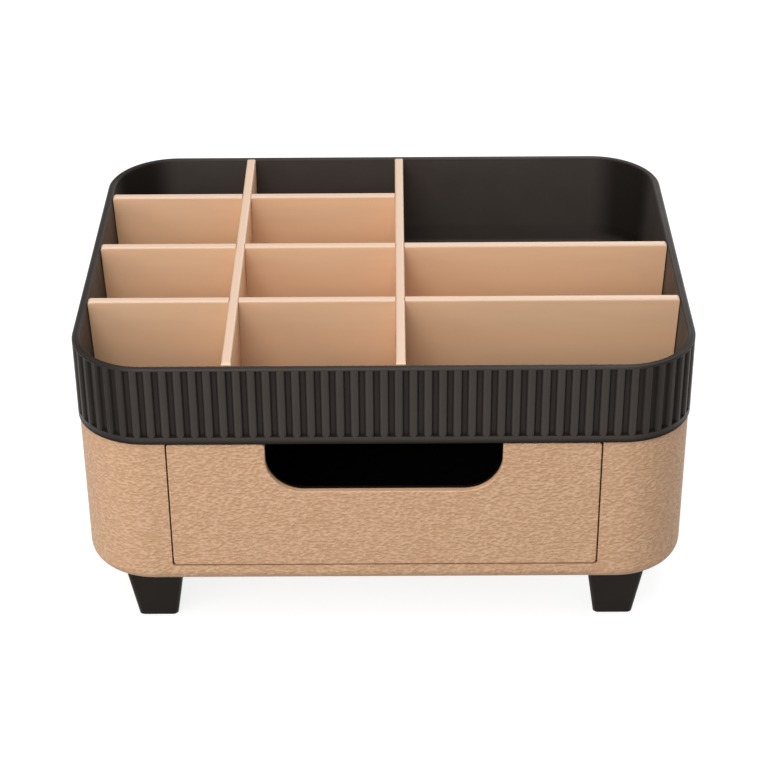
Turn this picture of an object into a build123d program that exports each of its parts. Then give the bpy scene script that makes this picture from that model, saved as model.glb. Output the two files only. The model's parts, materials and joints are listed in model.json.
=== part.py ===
from build123d import *
from math import atan2, degrees, radians, tan
import os

# A desk makeup organizer: a footed base with a drawer carries a ribbed tray with slotted dividers.
# Millimetres, X to the right, -Y to the front, Z up, origin on the table under the middle.

# Overall form
tray_width = 260.0
tray_depth = 200.0
corner_radius = 31.0
foot_height = 33.0
base_height = 71.0
tray_wall_height = 36.0

# Top tray: a ribbed wall around a narrower tub that stands inside the base, with one drafted hollow
rim_wall = 3.2
rim_chamfer = 0.5
rim_bevel = 45.0
rim_lip = 0.9
wall_draft = 2.2
rib_pitch = 6.02
groove_mouth = 4.8
groove_neck = 3.0
groove_neck_depth = 0.5
groove_floor = 1.6
groove_depth = 1.4
band_height = 3.3
tub_floor = 1.8
tub_nest = 10.5
tub_step_height = 3.0
tub_inner_round = 2.5
tub_outer_round = 1.5
slant_length = 19.0

# Base shell
tray_overhang = 0.6
nest_clearance = 0.6
base_wall = 1.8
base_floor = 2.2
base_bottom_round = 5.5
opening_width = 182.0
sill_rise = 8.6
guide_wall = 3.6
guide_setback = 12.0
guide_headroom = 0.5
runner_width = 4.0
runner_spacing = 110.0
pad_size = 18.0
pad_height = 2.0

# Drawer front
front_gap = 0.6
front_top_gap = 0.8
front_thickness = 2.5
front_bottom_corner = 2.0
front_top_corner = 1.4
front_edge_round = 0.5
notch_width = 99.0
notch_depth = 23.5
notch_bottom_corner = 16.0
notch_top_corner = 1.5
peg_diameter = 4.0
peg_clearance = 0.15
peg_flare_height = 1.0
peg_flare = 45.0
peg_spacing = 50.0
peg_count = 4
peg_rise = 18.0

# Drawer bin
bin_inset = 1.6
bin_wall = 1.8
bin_floor = 1.8
bin_corner = 4.0
bin_inner_round = 2.0
bin_back_gap = 2.0
bin_headroom = 1.5
guide_clearance = 0.5
running_gap = 0.3

# Divider boards
divider_thickness = 4.0
divider_proud = 1.0
divider_clearance = 0.4
divider_edge_round = 1.0
divider_corner = 1.0
divider_lead_in = 13.0
lap_clearance = 0.1
housing_depth = 2.0
housing_stop = 4.0
left_long_x = -64.0
centre_long_x = 7.2
rear_cross_y = 56.9
middle_cross_y = 6.9
front_cross_y = -42.7

# Feet and their screws
foot_inset = 28.8
foot_top_width = 27.0
foot_sole_width = 17.0
foot_corner = 2.2
foot_sole_chamfer = 1.0
key_width = 12.0
key_height = 1.2
key_clearance = 0.1
screw_diameter = 3.4
screw_length = 16.0
screw_tip_length = 2.5
screw_head_diameter = 7.0
screw_head_height = 2.4
screw_hole_clearance = 0.3
pilot_clearance = 0.05

# How far a cut runs past the face that it starts from
overrun = 2.0

# Heights and outlines that follow from the values above
seam_z = foot_height + base_height
rim_z = seam_z + tray_wall_height
band_z = seam_z + band_height
step_z = seam_z + tub_step_height
tub_bottom_z = seam_z - tub_nest
tub_floor_z = tub_bottom_z + tub_floor
base_floor_z = foot_height + base_floor
sill_z = foot_height + sill_rise

base_depth = tray_depth - 2 * tray_overhang
tub_inset = tray_overhang + base_wall + nest_clearance
tub_front_y = tray_depth / 2 - tub_inset

front_y = base_depth / 2
front_back_y = front_y - front_thickness
front_width = opening_width - 2 * front_gap
front_bottom_z = sill_z + front_gap
front_top_z = seam_z - front_top_gap
front_height = front_top_z - front_bottom_z
notch_z = front_top_z - notch_depth

bin_width = front_width - 2 * bin_inset
bin_back_y = base_depth / 2 - base_wall - bin_back_gap
bin_length = front_back_y + bin_back_y
bin_middle_y = (bin_back_y - front_back_y) / 2
bin_bottom_z = sill_z + running_gap
bin_top_z = tub_bottom_z - bin_headroom
peg_z = bin_bottom_z + peg_rise
flare_start_y = bin_wall - peg_flare_height - front_back_y

divider_top_z = rim_z + divider_proud
divider_middle_z = (tub_floor_z + divider_top_z) / 2
divider_slot = divider_thickness + 2 * lap_clearance
housing_top_z = divider_top_z - housing_stop

foot_x = tray_width / 2 - foot_inset
foot_y = tray_depth / 2 - foot_inset
foot_places = {
    "front_left_foot": (-foot_x, -foot_y),
    "front_right_foot": (foot_x, -foot_y),
    "rear_left_foot": (-foot_x, foot_y),
    "rear_right_foot": (foot_x, foot_y),
}
pad_top_z = base_floor_z + pad_height
foot_taper = degrees(atan2((foot_top_width - foot_sole_width) / 2, foot_height))


def inset_block(inset, low, high, mode=Mode.ADD):
    """Adds or cuts a block between two heights that follows the tray's outline at an inset."""
    with BuildSketch(Plane.XY.offset(low)) as outline:
        RectangleRounded(tray_width - 2 * inset, tray_depth - 2 * inset, corner_radius - inset)
    extrude(outline.sketch, amount=high - low, mode=mode)


def hollow_inset(height):
    """How far inside the tray's outline the drafted wall of its hollow stands at a height."""
    return rim_wall + (rim_z - height) * tan(radians(wall_draft))


def drafted_cut(inset, high, low, draft):
    """Cuts a hollow that follows the tray's outline at an inset and narrows downwards."""
    with BuildSketch(Plane((0, 0, high), z_dir=(0, 0, -1))) as mouth:
        RectangleRounded(tray_width - 2 * inset, tray_depth - 2 * inset, corner_radius - inset)
    extrude(mouth.sketch, amount=high - low, taper=draft, mode=Mode.SUBTRACT)


def edges_at(piece, height):
    """The edges of a piece that lie level at one height."""
    return piece.edges().filter_by_position(Axis.Z, height, height)


def save(piece, name):
    """Labels a finished piece and writes it under its own name."""
    piece.part.label = name
    export_step(piece.part, f"parts/{name}.step")


os.makedirs("parts", exist_ok=True)

# Ribbed wall of the tray: a lip that holds the tub, a smooth band, and ribs with bevelled crests between
# tapered grooves that stop under a smooth rim
with BuildSketch() as tray_outline:
    RectangleRounded(tray_width, tray_depth, corner_radius)
rim_line = tray_outline.sketch.face().outer_wire()
quarter_ribs = round(rim_line.length / (4 * rib_pitch))
rib_count = 4 * quarter_ribs
groove_places = [
    Location(rim_line.position_at(i / rib_count), (0, 0, rim_line.tangent_angle_at(i / rib_count)))
    for i in range(rib_count)
]
groove_outline = [
    (-groove_mouth / 2, -overrun),
    (groove_mouth / 2, -overrun),
    (groove_mouth / 2, 0),
    (groove_neck / 2, groove_neck_depth),
    (groove_floor / 2, groove_depth),
    (-groove_floor / 2, groove_depth),
    (-groove_neck / 2, groove_neck_depth),
    (-groove_mouth / 2, 0),
]

with BuildPart() as ribbed_wall:
    inset_block(0, seam_z, rim_z)
    chamfer(edges_at(ribbed_wall, rim_z), rim_chamfer)
    inset_block(tub_inset, seam_z, step_z, Mode.SUBTRACT)
    drafted_cut(rim_wall, rim_z, step_z, wall_draft)
    drafted_cut(rim_wall - rim_chamfer, rim_z, rim_z - rim_chamfer, rim_bevel)
    with BuildSketch(Plane.XY.offset(band_z)) as grooves:
        with Locations(*groove_places):
            Polygon(*groove_outline, align=None)
    extrude(amount=rim_z - rim_lip - band_z, mode=Mode.SUBTRACT)
save(ribbed_wall, "ribbed_wall")


def front_wedge(low, mode=Mode.ADD):
    """Adds or cuts a wedge along the tub's front, as high as the tub is deep, from a height upwards."""
    with BuildSketch(Plane.YZ) as wedge:
        with BuildLine() as wedge_outline:
            Polyline(
                (-tub_front_y, low),
                (slant_length - tub_front_y, low),
                (-tub_front_y, low + tub_nest),
                close=True,
            )
        make_face()
    extrude(wedge.sketch, amount=tray_width / 2, both=True, mode=mode)


# Tub of the tray: a shallow pan, welded into the ribbed wall's lip, that locates the tray in the base.
# Its front slants down to the back, which leaves room for fingers behind the drawer's notch.
with BuildPart() as slant_fill:
    front_wedge(tub_floor_z)
    inset_block(tub_inset, tub_bottom_z, step_z, Mode.INTERSECT)

with BuildPart() as tray_tub:
    inset_block(tub_inset, tub_bottom_z, step_z)
    fillet(edges_at(tray_tub, tub_bottom_z), tub_outer_round)
    drafted_cut(hollow_inset(step_z), step_z, tub_floor_z, wall_draft)
    fillet(edges_at(tray_tub, tub_floor_z), tub_inner_round)
    add(slant_fill.part)
    front_wedge(tub_bottom_z, Mode.SUBTRACT)
save(tray_tub, "tray_tub")

# Base shell: a round-cornered box with the drawer's opening, guide walls, runners and foot pads
with BuildPart() as base_shell:
    inset_block(tray_overhang, foot_height, seam_z)
    fillet(edges_at(base_shell, foot_height), base_bottom_round)
    inset_block(tray_overhang + base_wall, base_floor_z, seam_z, Mode.SUBTRACT)
    fillet(edges_at(base_shell, base_floor_z), base_bottom_round - base_wall)
    inner_depth = base_depth - 2 * base_wall
    with BuildSketch(Plane.XY.offset(base_floor_z)) as guides:
        with Locations((bin_width / 2 + guide_clearance, inner_depth / 2)):
            Rectangle(guide_wall, inner_depth - guide_setback, align=(Align.MIN, Align.MAX))
        mirror(about=Plane.YZ)
    extrude(amount=tub_bottom_z - guide_headroom - base_floor_z)
    with BuildSketch(Plane.XY.offset(base_floor_z)) as runners:
        with GridLocations(runner_spacing, 0, 2, 1):
            Rectangle(runner_width, inner_depth)
    extrude(amount=sill_z - base_floor_z)
    with BuildSketch(Plane.XY.offset(base_floor_z)) as pads:
        with GridLocations(2 * foot_x, 2 * foot_y, 2, 2):
            Rectangle(pad_size, pad_size)
    extrude(amount=pad_top_z - base_floor_z)
    with BuildSketch(Plane.XZ.offset(front_y + overrun)) as opening:
        with Locations((0, sill_z)):
            Rectangle(opening_width, base_height, align=(Align.CENTER, Align.MIN))
    extrude(amount=-(overrun + front_thickness + running_gap), mode=Mode.SUBTRACT)
    with BuildSketch(Plane.XY.offset(foot_height)) as key_recesses:
        with GridLocations(2 * foot_x, 2 * foot_y, 2, 2):
            Rectangle(key_width + 2 * key_clearance, key_width + 2 * key_clearance)
    extrude(amount=key_height + key_clearance, mode=Mode.SUBTRACT)
    with BuildSketch(Plane.XY.offset(foot_height)) as screw_holes:
        with GridLocations(2 * foot_x, 2 * foot_y, 2, 2):
            Circle(screw_diameter / 2 + screw_hole_clearance)
    extrude(amount=pad_top_z - foot_height + overrun, mode=Mode.SUBTRACT)
save(base_shell, "base_shell")

# Feet: tapered square blocks, each with a key that sits in the base's floor and a pilot hole
screw_reach = pad_top_z - screw_length
for foot_name, (place_x, place_y) in foot_places.items():
    with BuildPart() as foot:
        with BuildSketch(Plane((place_x, place_y, foot_height), z_dir=(0, 0, -1))) as shoulder:
            Rectangle(foot_top_width, foot_top_width)
        extrude(amount=foot_height, taper=foot_taper)
        fillet(foot.edges().group_by(Axis.Z)[1], foot_corner)
        chamfer(edges_at(foot, 0), foot_sole_chamfer)
        with BuildSketch(Plane((place_x, place_y, foot_height))) as key:
            Rectangle(key_width, key_width)
        extrude(amount=key_height)
        with BuildSketch(Plane((place_x, place_y, screw_reach - screw_tip_length))) as pilot:
            Circle(screw_diameter / 2 + pilot_clearance)
        extrude(amount=foot_height + overrun, mode=Mode.SUBTRACT)
    save(foot, foot_name)

# Foot screws: flat heads on the base's pads, points down in the feet
with BuildPart() as foot_screws:
    for place_x, place_y in foot_places.values():
        screw_plane = Plane((place_x, place_y, pad_top_z), x_dir=(1, 0, 0), z_dir=(0, -1, 0))
        with BuildSketch(screw_plane) as half_screw:
            with BuildLine() as screw_profile:
                Polyline(
                    (0, screw_head_height),
                    (screw_head_diameter / 2, screw_head_height),
                    (screw_head_diameter / 2, 0),
                    (screw_diameter / 2, 0),
                    (screw_diameter / 2, screw_tip_length - screw_length),
                    (0, -screw_length),
                    close=True,
                )
            make_face()
        revolve(axis=Axis((place_x, place_y, 0), (0, 0, 1)))
save(foot_screws, "foot_screws")


def notch_shape():
    """The finger notch as a flat shape, open at the top, with its width along X and its depth along Y."""
    with BuildSketch() as notch:
        with Locations((0, notch_z)):
            Rectangle(notch_width, front_height, align=(Align.CENTER, Align.MIN))
        fillet(notch.vertices().group_by(Axis.Y)[0], notch_bottom_corner)
    return notch.sketch


# Drawer front: a panel with the finger notch and a row of pegs melted flush into the bin's front wall
with BuildPart() as drawer_front:
    with BuildSketch(Plane.XZ.offset(front_y)) as panel:
        with Locations((0, front_bottom_z)):
            Rectangle(front_width, front_height, align=(Align.CENTER, Align.MIN))
        fillet(panel.vertices().group_by(Axis.Y)[0], front_bottom_corner)
        fillet(panel.vertices().group_by(Axis.Y)[-1], front_top_corner)
        add(notch_shape(), mode=Mode.SUBTRACT)
        fillet(panel.vertices().group_by(Axis.Y)[-1].sort_by(Axis.X)[1:-1], notch_top_corner)
    extrude(amount=-front_thickness)
    fillet(drawer_front.faces().sort_by(Axis.Y)[0].edges(), front_edge_round)
    with BuildSketch(Plane.XZ.offset(front_back_y)) as pegs:
        with Locations((0, peg_z)):
            with GridLocations(peg_spacing, 0, peg_count, 1):
                Circle(peg_diameter / 2)
    extrude(amount=peg_flare_height - bin_wall)
    with BuildSketch(Plane((0, flare_start_y, peg_z), x_dir=(1, 0, 0), z_dir=(0, 1, 0))) as peg_flares:
        with GridLocations(peg_spacing, 0, peg_count, 1):
            Circle(peg_diameter / 2)
    extrude(amount=peg_flare_height, taper=-peg_flare)
save(drawer_front, "drawer_front")

# Drawer bin: an open box whose front wall carries the panel and shares its notch
with BuildPart() as drawer_bin:
    with BuildSketch(Plane((0, bin_middle_y, bin_bottom_z))) as bin_outline:
        RectangleRounded(bin_width, bin_length, bin_corner)
    extrude(amount=bin_top_z - bin_bottom_z)
    bin_floor_z = bin_bottom_z + bin_floor
    with BuildSketch(Plane((0, bin_middle_y, bin_floor_z))) as bin_hollow:
        RectangleRounded(bin_width - 2 * bin_wall, bin_length - 2 * bin_wall, bin_corner - bin_wall)
    extrude(amount=bin_top_z - bin_floor_z, mode=Mode.SUBTRACT)
    fillet(edges_at(drawer_bin, bin_floor_z), bin_inner_round)
    with BuildSketch(Plane.XZ.offset(front_back_y + overrun)) as bin_notch:
        add(notch_shape())
        with Locations((0, peg_z)):
            with GridLocations(peg_spacing, 0, peg_count, 1):
                Circle(peg_diameter / 2 + peg_clearance)
    extrude(amount=-(overrun + bin_wall + bin_corner), mode=Mode.SUBTRACT)
    with BuildSketch(Plane((0, flare_start_y, peg_z), x_dir=(1, 0, 0), z_dir=(0, 1, 0))) as peg_sinks:
        with GridLocations(peg_spacing, 0, peg_count, 1):
            Circle(peg_diameter / 2 + peg_clearance)
    extrude(amount=peg_flare_height, taper=-peg_flare, mode=Mode.SUBTRACT)
save(drawer_bin, "drawer_bin")


def slot_rectangle(place, from_top):
    """A half-lap slot that runs from a board's mid height past its top or bottom edge."""
    height = (divider_top_z - tub_floor_z) / 2 + lap_clearance
    low = divider_middle_z - lap_clearance if from_top else divider_middle_z - height
    with Locations((place, low if from_top else low - overrun)):
        Rectangle(divider_slot, height + overrun, align=(Align.CENTER, Align.MIN))


def end_reach(half_span, height):
    """How far from the tray's middle a board's end stands at a height, clear of the drafted wall."""
    return half_span - hollow_inset(height) - divider_clearance


def cut_end(half_span, rise, run):
    """Corners, from the floor up, of a board's end whose lower corner is cut off by a rise and a run."""
    shoulder_z = tub_floor_z + rise
    shoulder = end_reach(half_span, shoulder_z)
    return [
        (shoulder - run, tub_floor_z),
        (shoulder, shoulder_z),
        (end_reach(half_span, divider_top_z), divider_top_z),
    ]


def board(plane, near_end, far_end, slots, from_top):
    """A divider board across the tray between two ends, given by their corners, with half-lap slots."""
    along = plane.x_dir
    with BuildPart() as piece:
        with BuildSketch(plane) as side:
            with BuildLine() as side_outline:
                Polyline(*far_end, *[(-reach, height) for reach, height in reversed(near_end)], close=True)
            make_face()
            chamfer(side.vertices().group_by(Axis.Y)[-1], divider_corner)
        extrude(amount=divider_thickness / 2, both=True)
        top_edges = piece.edges().filter_by(Axis((0, 0, 0), along)).group_by(Axis.Z)[-1]
        fillet(top_edges, divider_edge_round)
        with BuildSketch(plane) as laps:
            for place in slots:
                slot_rectangle(place, from_top)
        extrude(amount=divider_thickness, both=True, mode=Mode.SUBTRACT)
    return piece


def long_plane(x):
    """The upright plane of a board from front to back, with its length along Y."""
    return Plane((x, 0, 0), x_dir=(0, 1, 0), z_dir=(1, 0, 0))


def cross_plane(y):
    """The upright plane of a board from side to side, with its length along X."""
    return Plane((0, y, 0), x_dir=(1, 0, 0), z_dir=(0, -1, 0))


# Long dividers: their slots open downwards, over the cross boards, and their front ends clear the slant
front_end = cut_end(tray_depth / 2, tub_nest, slant_length)
rear_end = cut_end(tray_depth / 2, divider_lead_in, divider_lead_in)
side_end = cut_end(tray_width / 2, divider_lead_in, divider_lead_in)

left_laps = (front_cross_y, middle_cross_y, rear_cross_y)
left_long = board(long_plane(left_long_x), front_end, rear_end, left_laps, False)
save(left_long, "left_long_divider")

centre_laps = (front_cross_y, middle_cross_y)
centre_long = board(long_plane(centre_long_x), front_end, rear_end, centre_laps, False)
housing_face_x = centre_long_x - divider_thickness / 2
with BuildPart() as centre_long_divider:
    add(centre_long.part)
    with BuildSketch(Plane.XY.offset(tub_floor_z)) as housing:
        with Locations((housing_face_x, rear_cross_y)):
            Rectangle(housing_depth, divider_slot, align=(Align.MIN, Align.CENTER))
    extrude(amount=housing_top_z - tub_floor_z + lap_clearance, mode=Mode.SUBTRACT)
save(centre_long_divider, "centre_long_divider")

# Cross dividers: their slots open upwards, and the rear one ends in the centre board's housing
cross_places = {"middle_cross_divider": middle_cross_y, "front_cross_divider": front_cross_y}
for cross_name, cross_y in cross_places.items():
    cross = board(cross_plane(cross_y), side_end, side_end, (left_long_x, centre_long_x), True)
    save(cross, cross_name)

tongue_x = housing_face_x + housing_depth - lap_clearance
tongue_end = [(tongue_x, tub_floor_z), (tongue_x, divider_top_z)]
rear_cross = board(cross_plane(rear_cross_y), side_end, tongue_end, (left_long_x,), True)
with BuildPart() as rear_cross_divider:
    add(rear_cross.part)
    with BuildSketch(cross_plane(rear_cross_y)) as tongue_top:
        with Locations((housing_face_x - lap_clearance, housing_top_z)):
            Rectangle(housing_depth + overrun, housing_stop + overrun, align=(Align.MIN, Align.MIN))
    extrude(amount=divider_thickness, both=True, mode=Mode.SUBTRACT)
save(rear_cross_divider, "rear_cross_divider")
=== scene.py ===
import json
import math

import bpy
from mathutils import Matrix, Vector


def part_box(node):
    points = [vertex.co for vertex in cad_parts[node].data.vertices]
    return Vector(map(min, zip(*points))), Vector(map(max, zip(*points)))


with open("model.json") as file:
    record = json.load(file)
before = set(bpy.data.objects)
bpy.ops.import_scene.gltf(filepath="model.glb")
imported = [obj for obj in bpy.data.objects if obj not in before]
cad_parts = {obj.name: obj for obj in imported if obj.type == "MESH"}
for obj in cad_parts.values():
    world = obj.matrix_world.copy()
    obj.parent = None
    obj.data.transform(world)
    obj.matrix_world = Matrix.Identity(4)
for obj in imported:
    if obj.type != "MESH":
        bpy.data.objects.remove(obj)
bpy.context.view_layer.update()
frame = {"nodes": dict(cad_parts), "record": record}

# Looks, light and camera for a makeup organizer. Metres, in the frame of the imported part.

MM = 0.001

# Places read from the part
wall_low, wall_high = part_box("ribbed_wall")
tub_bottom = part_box("tray_tub")[0].z
board_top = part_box("centre_long_divider")[1].z

# The box's rounded outline, seen from above, and depths under it on the tray and the base
corner_radius = 31.0 * MM
arc_centre = (wall_high.x - corner_radius, wall_high.y - corner_radius, 0.0)
crest_edge = 0.2 * MM
groove_bottom = 1.3 * MM
rim_inside = 3.0 * MM
grain_full = 0.9 * MM
grain_start = 1.6 * MM

# How far past an arc's centre a corner has its full painted shade
corner_turn = 14.0 * MM

# Heights, over the wall's foot or the tub's bottom, or under the rim or the boards' tops
foot_lip = 2.6 * MM
corner_shade_start = 3.0 * MM
corner_shade_full = 9.0 * MM
rim_lip = 0.9 * MM
board_sheen_full = 0.2 * MM
board_sheen_start = 1.3 * MM
board_shade_start = 6.0 * MM
board_shade_full = 22.0 * MM

# Depths of the relief
wrinkle_relief = 0.30 * MM
satin_relief = 0.03 * MM
board_relief = 0.02 * MM

# Noise: features in a metre, octaves of detail, stretch along each axis, and the range of its values
wrinkle_density = 560.0
patch_density = 60.0
streak_density = 260.0
cloud_density = 70.0
mottle_density = 700.0
board_fine_density = 1500.0
satin_fine_density = 1800.0
wrinkle_detail = 0.8
fine_detail = 2.0
cloud_detail = 3.0
wrinkle_stretch = (1.0, 1.0, 1.7)
streak_stretch = (0.12, 0.12, 1.0)
usual_range = (0.30, 0.70)
wrinkle_range = (0.22, 0.78)
wrinkle_stops = (0.34, 0.50, 0.68)
mottle_range = (0.35, 0.65)

# Colours, in linear light
# The palest tan is a painted highlight on the tops of the grain's wrinkles.
TAN_HIGHLIGHT = (0.665, 0.424, 0.270, 1.0)
TAN_MID = (0.565, 0.342, 0.202, 1.0)
TAN_DARK = (0.515, 0.304, 0.172, 1.0)
BOARD_FACE = (0.745, 0.470, 0.288, 1.0)
BOARD_FACE_DARK = (0.708, 0.441, 0.266, 1.0)
# The boards' lower tone is painted shade.
BOARD_SHADE_LOW = (0.750, 0.446, 0.258, 1.0)
# The boards' edge tone is a painted highlight.
BOARD_EDGE_SHEEN = (0.550, 0.388, 0.278, 1.0)
BLACK = (0.0110, 0.0088, 0.0074, 1.0)
BLACK_DUST = (0.0135, 0.0110, 0.0095, 1.0)
# The inside blacks are lighter than the outside as painted light; the step between the two is dust.
INSIDE_LIT_BLACK = (0.0420, 0.0355, 0.0315, 1.0)
INSIDE_LIT_DUST = (0.0475, 0.0405, 0.0360, 1.0)
# The deepest black is painted shade: in the tray's corners, and on the feet and the bin.
SHADE_BLACK = (0.0070, 0.0055, 0.0045, 1.0)
SHADE_BLACK_DUST = (0.0090, 0.0072, 0.0060, 1.0)
STEEL = (0.52, 0.52, 0.53, 1.0)
STEEL_DULL = (0.42, 0.42, 0.43, 1.0)
WARM_SHEEN = (1.0, 0.84, 0.75, 1.0)
FLOOR_GREY = (0.30, 0.30, 0.30, 1.0)
WHITE = (1.0, 1.0, 1.0, 1.0)

# Roughness, where the noise is low and where it is high
grain_roughness = (0.62, 0.48)
board_roughness = (0.46, 0.38)
satin_roughness = (0.50, 0.43)
steel_roughness = (0.45, 0.30)

# Gloss, and the share of it that duller places keep; in the grooves, at the corners, on the rim and at
# the wall's foot the duller gloss is painted shade
grain_gloss = 0.28
# The feet's and the bin's lower gloss is part of their painted shade.
shaded_gloss = 0.13
groove_gloss = 0.18
crest_gloss = 0.47
corner_gloss_share = 0.5
rim_gloss_share = 0.55
foot_gloss_share = 0.15

# Share of a second tone, where it is strongest; at the tray's corners, its rim and low on the boards
# this tone is painted shade
corner_shade_share = 0.85
rim_shade_share = 0.6
board_shade_share = 0.8
patch_share = 0.35

# Floor and backdrop: the glow that the camera sees near the object, where it starts to rise with the
# distance and where it is full, and the backdrop's strength as a light
floor_reach = 6.0
floor_glow = 0.84
glow_start = 0.4
glow_full = 1.5
world_light = 0.32

# Studio lamps: name, place, width and power in watts. They face the foot of the tray's wall.
lamp_target = Vector((0.0, 0.0, wall_low.z))
LAMPS = (
    ("key", (-0.28, -1.05, 0.95), 0.8, 8.2),
    ("side", (-0.90, -0.80, 0.40), 0.6, 4.2),
    ("back", (0.50, 1.20, 0.80), 0.9, 5.0),
    ("right", (1.10, 0.35, 0.55), 0.8, 3.0),
    ("overhead", (-0.12, -0.30, 1.40), 1.0, 13.6),
)

# Camera at the photograph's angle: turns in degrees, the sensor in millimetres
camera_place = Vector((4.6, -844.2, 586.3)) * MM
camera_turn = (58.66, 0.41, 0.10)
frame_pixels = 767.0
focal_pixels = 2143.8
sensor_width = 36.0


class Nodes:
    """Short ways to add nodes to a node tree."""

    def __init__(self, tree):
        self.tree = tree

    def node(self, kind, **settings):
        made = self.tree.nodes.new(kind)
        for key, value in settings.items():
            setattr(made, key, value)
        return made

    def put(self, value, socket):
        """Gives a socket another node's output, or a value of its own."""
        if isinstance(value, bpy.types.NodeSocket):
            self.tree.links.new(value, socket)
        else:
            socket.default_value = value

    def combine(self, operation, first, second):
        """One number made from two."""
        made = self.node("ShaderNodeMath", operation=operation)
        self.put(first, made.inputs[0])
        self.put(second, made.inputs[1])
        return made.outputs["Value"]

    def spread(self, value, start, end, smooth=False):
        """A value moved from one range to another, each a pair, and held at both ends."""
        made = self.node("ShaderNodeMapRange", interpolation_type="SMOOTHSTEP" if smooth else "LINEAR")
        self.put(value, made.inputs["Value"])
        for key, number in zip(("From Min", "From Max", "To Min", "To Max"), (*start, *end)):
            self.put(number, made.inputs[key])
        return made.outputs["Result"]

    def seen_rays(self):
        """1 for rays that show the background: straight from the camera, mirrored or through glass."""
        path = self.node("ShaderNodeLightPath")
        seen = path.outputs["Is Camera Ray"]
        for name in ("Is Glossy Ray", "Is Transmission Ray"):
            seen = self.combine("MAXIMUM", seen, path.outputs[name])
        return seen


class Surface(Nodes):
    """A material under construction, placed by the object's own coordinates."""

    def __init__(self, name):
        self.material = bpy.data.materials.new(name)
        self.material.use_nodes = True
        super().__init__(self.material.node_tree)
        self.shader = self.tree.nodes["Principled BSDF"]
        self.place = self.node("ShaderNodeTexCoord").outputs["Object"]

    def shade(self, name, value):
        """Gives one of the shader's sockets a value or a node's output."""
        self.put(value, self.shader.inputs[name])

    def noise(self, density, detail, stretch=None):
        """A cloud of values about 0.5, with so many features in a metre."""
        made = self.node("ShaderNodeTexNoise")
        vector = self.place
        if stretch is not None:
            mapping = self.node("ShaderNodeMapping")
            self.put(vector, mapping.inputs["Vector"])
            self.put(stretch, mapping.inputs["Scale"])
            vector = mapping.outputs["Vector"]
        self.put(vector, made.inputs["Vector"])
        self.put(density, made.inputs["Scale"])
        self.put(detail, made.inputs["Detail"])
        return made.outputs["Fac"]

    def ramp(self, value, positions, colours):
        """A colour that follows a value, with one colour at each position."""
        made = self.node("ShaderNodeValToRGB")
        stops = made.color_ramp.elements
        while len(stops) < len(positions):
            stops.new(1.0)
        for stop, position, colour in zip(stops, positions, colours):
            stop.position = position
            stop.color = colour
        self.put(value, made.inputs["Fac"])
        return made.outputs["Color"]

    def blend(self, share, first, second):
        """A colour between two colours, by a share."""
        made = self.node("ShaderNodeMix", data_type="RGBA")
        self.put(share, made.inputs["Factor"])
        self.put(first, made.inputs["A"])
        self.put(second, made.inputs["B"])
        return made.outputs["Result"]

    def bump(self, height, depth, strength=1.0):
        """Relief on the shader, from a height between 0 and 1 and a depth in metres."""
        made = self.node("ShaderNodeBump")
        self.put(height, made.inputs["Height"])
        self.put(depth, made.inputs["Distance"])
        self.put(strength, made.inputs["Strength"])
        self.shade("Normal", made.outputs["Normal"])

    def combine_vectors(self, operation, first, second=None):
        """One vector, or its length, made from one or two."""
        made = self.node("ShaderNodeVectorMath", operation=operation)
        self.put(first, made.inputs[0])
        if second is not None:
            self.put(second, made.inputs[1])
        return made.outputs["Value" if operation == "LENGTH" else "Vector"]

    def axis(self, vector, name):
        """One of a vector's three numbers."""
        parts = self.node("ShaderNodeSeparateXYZ")
        self.put(vector, parts.inputs["Vector"])
        return parts.outputs[name]

    def past_arc_centre(self):
        """How far a point lies past the corner arcs' centres, along X and along Y."""
        quarter = self.combine_vectors("ABSOLUTE", self.place)
        flat = self.combine_vectors("MULTIPLY", quarter, (1.0, 1.0, 0.0))
        past = self.combine_vectors("SUBTRACT", flat, arc_centre)
        return self.combine_vectors("MAXIMUM", past, (0.0, 0.0, 0.0))

    def by_depth(self, deep, shallow, values):
        """A value that changes between two depths under the rounded outline, seen from above."""
        reach = self.combine_vectors("LENGTH", self.past_arc_centre())
        return self.spread(reach, (corner_radius - deep, corner_radius - shallow), values, smooth=True)

    def by_corner(self, values):
        """A value that changes from the straight sides to the rounded corners."""
        past = self.past_arc_centre()
        turned = self.combine("MINIMUM", self.axis(past, "X"), self.axis(past, "Y"))
        return self.spread(turned, (0.0, corner_turn), values, smooth=True)

    def by_height(self, low, high, values):
        """A value that changes between two heights."""
        return self.spread(self.axis(self.place, "Z"), (low, high), values, smooth=True)

    def satin(self):
        """A very fine relief and a satin finish; gives the clouds that the finish follows."""
        clouds = self.noise(cloud_density, cloud_detail)
        self.shade("Roughness", self.spread(clouds, usual_range, satin_roughness))
        self.shade("Specular Tint", WARM_SHEEN)
        self.bump(self.noise(satin_fine_density, fine_detail), satin_relief)
        return clouds


def tan_grain():
    """Tan plastic moulded with a fine leather grain: short wrinkles that run level round the box,
    their tops painted paler as a painted highlight.
    """
    surface = Surface("tan_grain_plastic")
    skin = surface.by_depth(grain_start, grain_full, (0.0, 1.0))
    wrinkles = surface.noise(wrinkle_density, wrinkle_detail, wrinkle_stretch)
    patches = surface.noise(patch_density, fine_detail, wrinkle_stretch)
    # Grain tone with a painted highlight: the higher the wrinkle, the paler the tan.
    grain_and_highlight = surface.ramp(wrinkles, wrinkle_stops, (TAN_DARK, TAN_MID, TAN_HIGHLIGHT))
    toned = surface.blend(surface.spread(patches, usual_range, (0.0, patch_share)), grain_and_highlight, TAN_MID)
    surface.shade("Base Color", surface.blend(skin, TAN_MID, toned))
    surface.shade("Roughness", surface.spread(wrinkles, usual_range, grain_roughness))
    surface.shade("Specular IOR Level", grain_gloss)
    surface.bump(surface.spread(wrinkles, wrinkle_range, (0.0, 1.0)), wrinkle_relief, skin)
    return surface.material


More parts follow.
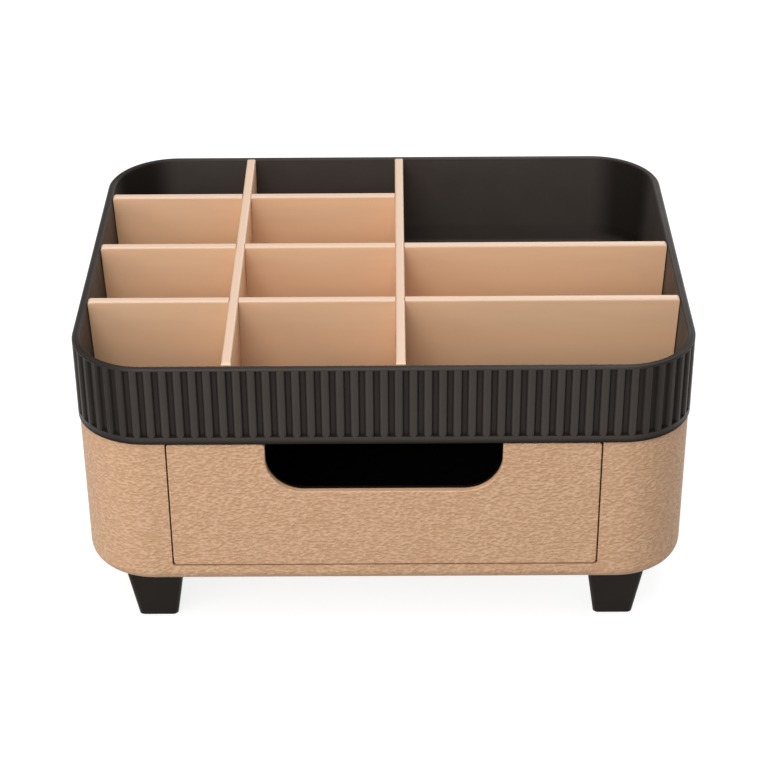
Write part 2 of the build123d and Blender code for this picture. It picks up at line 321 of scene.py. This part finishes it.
def tan_smooth():
    """Smooth tan plastic of the boards, with painted shade that makes them warmer lower down, and a
    painted highlight that makes them paler along the rounded top edges.
    """
    surface = Surface("tan_smooth_plastic")
    streaks = surface.noise(streak_density, cloud_detail, streak_stretch)
    face = surface.ramp(streaks, usual_range, (BOARD_FACE_DARK, BOARD_FACE))
    # Painted shade: the faces turn a warmer, deeper tone lower down in the tray.
    low = surface.by_height(
        board_top - board_shade_full, board_top - board_shade_start, (board_shade_share, 0.0)
    )
    # Painted highlight: a paler, greyer tone along the rounded top edges stands in for the sheen they
    # catch.
    edge_sheen = surface.by_height(board_top - board_sheen_start, board_top - board_sheen_full, (0.0, 1.0))
    shaded = surface.blend(low, face, BOARD_SHADE_LOW)
    surface.shade("Base Color", surface.blend(edge_sheen, shaded, BOARD_EDGE_SHEEN))
    surface.shade("Roughness", surface.spread(streaks, usual_range, board_roughness))
    surface.bump(surface.noise(board_fine_density, fine_detail), board_relief)
    return surface.material


def tray_black():
    """Black plastic of the tray: glossy rib crests, an inside painted lighter as painted light with a
    dust mottle, and corners and edges painted duller and darker as painted shade.
    """
    surface = Surface("black_plastic")
    clouds = surface.satin()
    rim_top = wall_high.z
    rim_start = rim_top - rim_lip
    rim_full = rim_top - rim_lip / 2
    # Painted light: the inner faces get a lighter black than the outside, mottled between two tones of
    # dust.
    inside_light_and_dust = surface.ramp(clouds, usual_range, (INSIDE_LIT_BLACK, INSIDE_LIT_DUST))
    outer = surface.ramp(clouds, usual_range, (BLACK, BLACK_DUST))
    # Painted shade: the inside turns deep black towards the rounded corners, from a little over the
    # tub's bottom.
    over_floor = surface.by_height(
        tub_bottom + corner_shade_start, tub_bottom + corner_shade_full, (0.0, 1.0)
    )
    corner_shade = surface.combine("MULTIPLY", surface.by_corner((0.0, corner_shade_share)), over_floor)
    inner = surface.blend(corner_shade, inside_light_and_dust, SHADE_BLACK)
    walls = surface.blend(surface.by_depth(rim_inside, groove_bottom, (0.0, 1.0)), inner, outer)
    # Painted shade: the rim's top turns towards plain black.
    rim_shade = surface.by_height(rim_start, rim_full, (0.0, rim_shade_share))
    surface.shade("Base Color", surface.blend(rim_shade, walls, BLACK))
    # Painted shade and highlight: the grooves keep less gloss than the rib crests.
    gloss = surface.by_depth(groove_bottom, crest_edge, (groove_gloss, crest_gloss))
    for share in (
        # Painted shade: less gloss at the rounded corners.
        surface.by_corner((1.0, corner_gloss_share)),
        # Painted shade: less gloss on the rim's top.
        surface.by_height(rim_start, rim_full, (1.0, rim_gloss_share)),
        # Painted shade: the gloss fades towards the wall's foot on the base.
        surface.by_height(wall_low.z, wall_low.z + foot_lip, (foot_gloss_share, 1.0)),
    ):
        gloss = surface.combine("MULTIPLY", gloss, share)
    surface.shade("Specular IOR Level", gloss)
    return surface.material


def shaded_black():
    """Black plastic of the feet and the bin, painted darker than the tray's as painted shade under the
    base and inside the drawer.
    """
    surface = Surface("shaded_black_plastic")
    clouds = surface.satin()
    surface.shade("Base Color", surface.ramp(clouds, usual_range, (SHADE_BLACK, SHADE_BLACK_DUST)))
    surface.shade("Specular IOR Level", shaded_gloss)
    return surface.material


def screw_steel():
    """Zinc-plated steel, faintly mottled."""
    surface = Surface("screw_steel")
    mottle = surface.noise(mottle_density, cloud_detail)
    surface.shade("Base Color", surface.ramp(mottle, mottle_range, (STEEL_DULL, STEEL)))
    surface.shade("Roughness", surface.spread(mottle, usual_range, steel_roughness))
    surface.shade("Metallic", 1.0)
    return surface.material


def dress_part():
    """Gives each node the looks of its material slot, and the feet and the bin a darker black as
    painted shade.
    """
    looks = {
        "tan_grain_plastic": tan_grain(),
        "tan_smooth_plastic": tan_smooth(),
        "black_plastic": tray_black(),
        "screw_steel": screw_steel(),
    }
    shaded_look = shaded_black()
    for part in frame["record"]["subparts"]:
        name = part["node"]
        # The feet and the bin take the darker black as painted shade.
        deep = name.endswith("_foot") or name == "drawer_bin"
        mesh = frame["nodes"][name].data
        mesh.materials.clear()
        mesh.materials.append(shaded_look if deep else looks[part["material_slot"]])


def lay_floor():
    """A grey floor that takes the object's shadow, and glows to the eye so that it looks white."""
    bpy.ops.mesh.primitive_plane_add(size=floor_reach, location=(0.0, 0.0, 0.0))
    floor = bpy.context.object
    floor.name = "studio_floor"
    surface = Surface("studio_floor")
    distance = surface.combine_vectors("LENGTH", surface.place)
    glow = surface.spread(distance, (glow_start, glow_full), (floor_glow, 1.0), smooth=True)
    surface.shade("Base Color", FLOOR_GREY)
    surface.shade("Roughness", 1.0)
    surface.shade("Specular IOR Level", 0.0)
    surface.shade("Emission Color", WHITE)
    surface.shade("Emission Strength", surface.combine("MULTIPLY", glow, surface.seen_rays()))
    floor.data.materials.append(surface.material)


def light_backdrop():
    """A backdrop that is white to the eye and softer as a light."""
    world = bpy.data.worlds.new("studio")
    bpy.context.scene.world = world
    world.use_nodes = True
    nodes = Nodes(world.node_tree)
    backdrop = world.node_tree.nodes["Background"]
    nodes.put(WHITE, backdrop.inputs["Color"])
    strength = nodes.spread(nodes.seen_rays(), (0.0, 1.0), (world_light, 1.0))
    nodes.put(strength, backdrop.inputs["Strength"])


def hang_lamp(name, place, width, power):
    """A square soft lamp that faces the target."""
    lamp = bpy.data.lights.new(name, "AREA")
    lamp.size = width
    lamp.energy = power
    holder = bpy.data.objects.new(name, lamp)
    holder.location = place
    holder.rotation_euler = (lamp_target - Vector(place)).to_track_quat("-Z", "Y").to_euler()
    bpy.context.scene.collection.objects.link(holder)


def set_camera():
    """A plain camera where the photograph was taken from."""
    camera_data = bpy.data.cameras.new("photo_camera")
    camera_data.sensor_width = sensor_width
    camera_data.lens = focal_pixels / frame_pixels * sensor_width
    camera = bpy.data.objects.new("photo_camera", camera_data)
    camera.location = camera_place
    camera.rotation_euler = [math.radians(turn) for turn in camera_turn]
    bpy.context.scene.collection.objects.link(camera)
    bpy.context.scene.camera = camera


dress_part()
lay_floor()
light_backdrop()
for lamp_values in LAMPS:
    hang_lamp(*lamp_values)
set_camera()
bpy.context.scene.view_settings.view_transform = "Standard"
